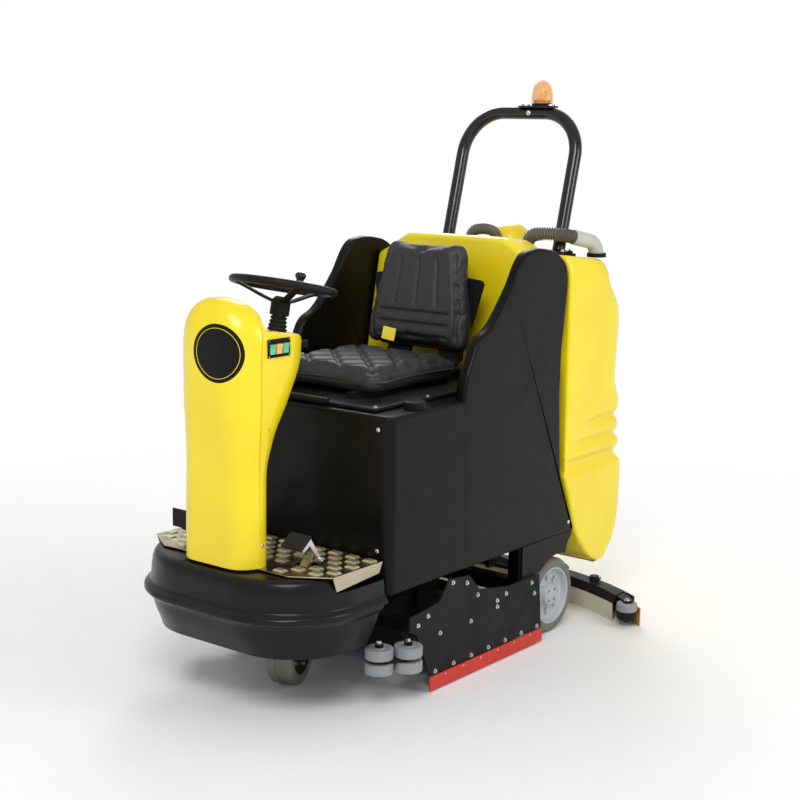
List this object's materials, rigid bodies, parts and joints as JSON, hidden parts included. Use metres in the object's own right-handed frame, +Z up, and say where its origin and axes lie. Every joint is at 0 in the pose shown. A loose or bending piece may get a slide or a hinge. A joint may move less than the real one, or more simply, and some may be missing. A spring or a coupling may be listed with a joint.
{
  "type": "ride-on floor scrubber",
  "caption": "Ride-on floor scrubber with yellow column and rear tank, black seat body, roll bar with amber beacon, brush deck and wide rear squeegee.",
  "frame": {"origin": "on the floor under the middle of the machine, at the bottom centre of its bounding box", "axes": "+X towards the machine left, -Y forward in the travel direction, +Z up"},
  "size_m": [1.122, 1.78, 1.863],
  "materials": {
    "black_gloss": "glossy moulded",
    "black_shell": "satin moulded",
    "black_matte": "fine texture",
    "yellow_shell": "satin rotomoulded",
    "frame_black": "powder coat",
    "bar_gloss": "gloss paint",
    "tread_plate": "worn bright tread",
    "steel": "zinc plated",
    "reflector": "polished",
    "black_rim": "soft grip",
    "rubber_black": "moulded",
    "tyre_grey": "non marking",
    "rim_grey": "moulded",
    "roller_grey": "non marking",
    "seat_vinyl": "grained vinyl",
    "yellow_tag": "moulded",
    "switch_green": "lit",
    "switch_amber": "lit",
    "hose_grey": "corrugated",
    "cuff_grey": "smooth",
    "amber_lens": "clear amber",
    "battery_grey": "moulded",
    "red_skirt": "urethane",
    "bristle": "nylon bristle",
    "squeegee_cast": "powder coat",
    "blade_amber": "gum rubber"
  },
  "bodies": {
    "chassis": {"main_frame": "frame_black", "front_fender": "black_gloss", "step_plate": "tread_plate", "column_shell": "yellow_shell", "column_back_cover": "black_matte", "control_panel": "black_matte", "steering_boot": "rubber_black", "solution_tank": "black_shell", "batteries": "battery_grey", "recovery_tank": "yellow_shell", "vacuum_motor": "black_matte", "vacuum_hose": "hose_grey", "suction_hose": "hose_grey", "hose_cuffs": "cuff_grey", "squeegee_hose": "hose_grey", "roll_bar": "bar_gloss", "beacon_base": "black_matte", "beacon_lens": "amber_lens"},
    "steering": {"steering_wheel": "black_rim", "steering_shaft": "steel"},
    "spinner": {"spinner_knob": "black_gloss"},
    "fork": {"front_fork": "frame_black", "drive_motor": "frame_black"},
    "front_wheel": {"front_tyre": "tyre_grey", "front_hub": "rim_grey"},
    "accelerator": {"accelerator_pedal": "steel"},
    "brake": {"brake_pedal": "steel"},
    "switch_1": {"rocker_1": "switch_green"},
    "switch_2": {"rocker_2": "switch_amber"},
    "switch_3": {"rocker_3": "switch_green"},
    "key": {"key_knob": "black_matte"},
    "seat": {"seat_frame": "frame_black", "seat_cushion": "seat_vinyl", "seat_back": "seat_vinyl"},
    "seat_release": {"seat_latch": "yellow_tag"},
    "cap": {"filler_cap": "black_matte"},
    "lid": {"recovery_lid": "yellow_shell"},
    "beacon": {"beacon_rotor": "reflector"},
    "rear_wheel_left": {"rear_tyre_left": "tyre_grey", "rear_rim_left": "rim_grey"},
    "rear_wheel_right": {"rear_tyre_right": "tyre_grey", "rear_rim_right": "rim_grey"},
    "lift_arm": {"deck_arm": "frame_black"},
    "deck": {"deck_housing": "frame_black", "deck_side_plates": "frame_black", "side_skirts": "red_skirt", "roller_brackets": "steel", "brush_motors": "black_matte", "debris_hopper": "black_matte"},
    "front_brush": {"brush_front": "bristle"},
    "rear_brush": {"brush_rear": "bristle"},
    "roller_outer_left": {"deck_roller_outer_left": "roller_grey"},
    "roller_outer_right": {"deck_roller_outer_right": "roller_grey"},
    "roller_inner_left": {"deck_roller_inner_left": "roller_grey"},
    "roller_inner_right": {"deck_roller_inner_right": "roller_grey"},
    "squeegee_lift_arm": {"squeegee_arm": "frame_black"},
    "squeegee": {"squeegee_body": "squeegee_cast", "squeegee_blades": "blade_amber"},
    "tip_roller_left": {"squeegee_roller_left": "roller_grey"},
    "tip_roller_right": {"squeegee_roller_right": "roller_grey"}
  },
  "joints": [
    {"name": "steering_turn", "type": "hinge", "parent": "chassis", "child": "steering", "pos_m": [0, -0.513, 1.235], "axis": [0, 0.2164, 0.9763], "range_deg": [-120, 230]},
    {"name": "spinner_spin", "type": "hinge", "parent": "steering", "child": "spinner", "pos_m": [-0.06101, -0.37922, 1.20534], "axis": [0, 0.2164, 0.9763], "continuous": true},
    {"name": "fork_turn", "type": "hinge", "parent": "chassis", "child": "fork", "pos_m": [0, -0.48, 0.3], "axis": [0, 0, 1], "range_deg": [-48, 92]},
    {"name": "drive_wheel_spin", "type": "hinge", "parent": "fork", "child": "front_wheel", "pos_m": [0, -0.48, 0.115], "axis": [0.9272, 0.3746, 0], "continuous": true},
    {"name": "accelerator_press", "type": "hinge", "parent": "chassis", "child": "accelerator", "pos_m": [0.2, -0.622, 0.472], "axis": [1, 0, 0], "range_deg": [0, 12], "stiffness_Nm_per_rad": 2, "springref_deg": -8.59},
    {"name": "brake_press", "type": "hinge", "parent": "chassis", "child": "brake", "pos_m": [-0.2, -0.646, 0.462], "axis": [1, 0, 0], "range_deg": [0, 10], "stiffness_Nm_per_rad": 4, "springref_deg": -8.59},
    {"name": "switch_1_rock", "type": "hinge", "parent": "chassis", "child": "switch_1", "pos_m": [0.1502, -0.724, 1.083], "axis": [0, 1, 0], "range_deg": [-8, 0]},
    {"name": "switch_2_rock", "type": "hinge", "parent": "chassis", "child": "switch_2", "pos_m": [0.1502, -0.697, 1.083], "axis": [0, 1, 0], "range_deg": [-8, 0]},
    {"name": "switch_3_rock", "type": "hinge", "parent": "chassis", "child": "switch_3", "pos_m": [0.1502, -0.67, 1.083], "axis": [0, 1, 0], "range_deg": [-8, 0]},
    {"name": "key_turn", "type": "hinge", "parent": "chassis", "child": "key", "pos_m": [0.11046, -0.55354, 1.078], "axis": [0.7071, 0.7071, 0], "range_deg": [0, 90]},
    {"name": "seat_tip", "type": "hinge", "parent": "chassis", "child": "seat", "pos_m": [0, -0.448, 0.897], "axis": [1, 0, 0], "range_deg": [0, 55]},
    {"name": "seat_release_pull", "type": "hinge", "parent": "seat", "child": "seat_release", "pos_m": [0.246, 0.06, 0.902], "axis": [1, 0, 0], "range_deg": [-35, 0], "stiffness_Nm_per_rad": 0.2, "springref_deg": 11.46},
    {"name": "cap_turn", "type": "hinge", "parent": "chassis", "child": "cap", "pos_m": [0.332, -0.3, 0.89], "axis": [0, 0, 1], "continuous": true},
    {"name": "lid_open", "type": "hinge", "parent": "chassis", "child": "lid", "pos_m": [0.02, 0.742, 1.3095], "axis": [-1, 0, 0], "range_deg": [0, 85]},
    {"name": "beacon_spin", "type": "hinge", "parent": "chassis", "child": "beacon", "pos_m": [0.072, 0.736, 1.79], "axis": [0, 0, 1], "continuous": true},
    {"name": "rear_left_spin", "type": "hinge", "parent": "chassis", "child": "rear_wheel_left", "pos_m": [0.3255, 0.45, 0.13], "axis": [1, 0, 0], "continuous": true},
    {"name": "rear_right_spin", "type": "hinge", "parent": "chassis", "child": "rear_wheel_right", "pos_m": [-0.3255, 0.45, 0.13], "axis": [1, 0, 0], "continuous": true},
    {"name": "deck_lift", "type": "hinge", "parent": "chassis", "child": "lift_arm", "pos_m": [0, -0.33, 0.262], "axis": [1, 0, 0], "range_deg": [0, 9]},
    {"name": "deck_level", "type": "hinge", "parent": "lift_arm", "child": "deck", "pos_m": [0, -0.01, 0.205], "axis": [1, 0, 0], "range_deg": [-9, 0]},
    {"name": "front_brush_spin", "type": "hinge", "parent": "deck", "child": "front_brush", "pos_m": [0, -0.1, 0.078], "axis": [1, 0, 0], "continuous": true},
    {"name": "rear_brush_spin", "type": "hinge", "parent": "deck", "child": "rear_brush", "pos_m": [0, 0.08, 0.078], "axis": [1, 0, 0], "continuous": true},
    {"name": "roller_outer_left_spin", "type": "hinge", "parent": "deck", "child": "roller_outer_left", "pos_m": [0.401, -0.405, 0.15], "axis": [0, 0, 1], "continuous": true},
    {"name": "roller_outer_right_spin", "type": "hinge", "parent": "deck", "child": "roller_outer_right", "pos_m": [-0.401, -0.405, 0.15], "axis": [0, 0, 1], "continuous": true},
    {"name": "roller_inner_left_spin", "type": "hinge", "parent": "deck", "child": "roller_inner_left", "pos_m": [0.349, -0.478, 0.15], "axis": [0, 0, 1], "continuous": true},
    {"name": "roller_inner_right_spin", "type": "hinge", "parent": "deck", "child": "roller_inner_right", "pos_m": [-0.349, -0.478, 0.15], "axis": [0, 0, 1], "continuous": true},
    {"name": "squeegee_lift", "type": "hinge", "parent": "chassis", "child": "squeegee_lift_arm", "pos_m": [0, 0.548, 0.165], "axis": [1, 0, 0], "range_deg": [0, 8], "deforming": ["squeegee_hose"]},
    {"name": "squeegee_swivel", "type": "hinge", "parent": "squeegee_lift_arm", "child": "squeegee", "pos_m": [0, 0.8, 0.1], "axis": [0, 0, 1], "range_deg": [-8, 8]},
    {"name": "tip_roller_left_spin", "type": "hinge", "parent": "squeegee", "child": "tip_roller_left", "pos_m": [0.525, 0.668, 0.05], "axis": [0, 0, 1], "continuous": true},
    {"name": "tip_roller_right_spin", "type": "hinge", "parent": "squeegee", "child": "tip_roller_right", "pos_m": [-0.525, 0.668, 0.05], "axis": [0, 0, 1], "continuous": true}
  ],
  "couplings": [
    {"joint": "fork_turn", "follows": "steering_turn", "ratio": 0.4},
    {"joint": "deck_level", "follows": "deck_lift", "ratio": -1},
    {"joint": "rear_brush_spin", "follows": "front_brush_spin", "ratio": -1}
  ]
}
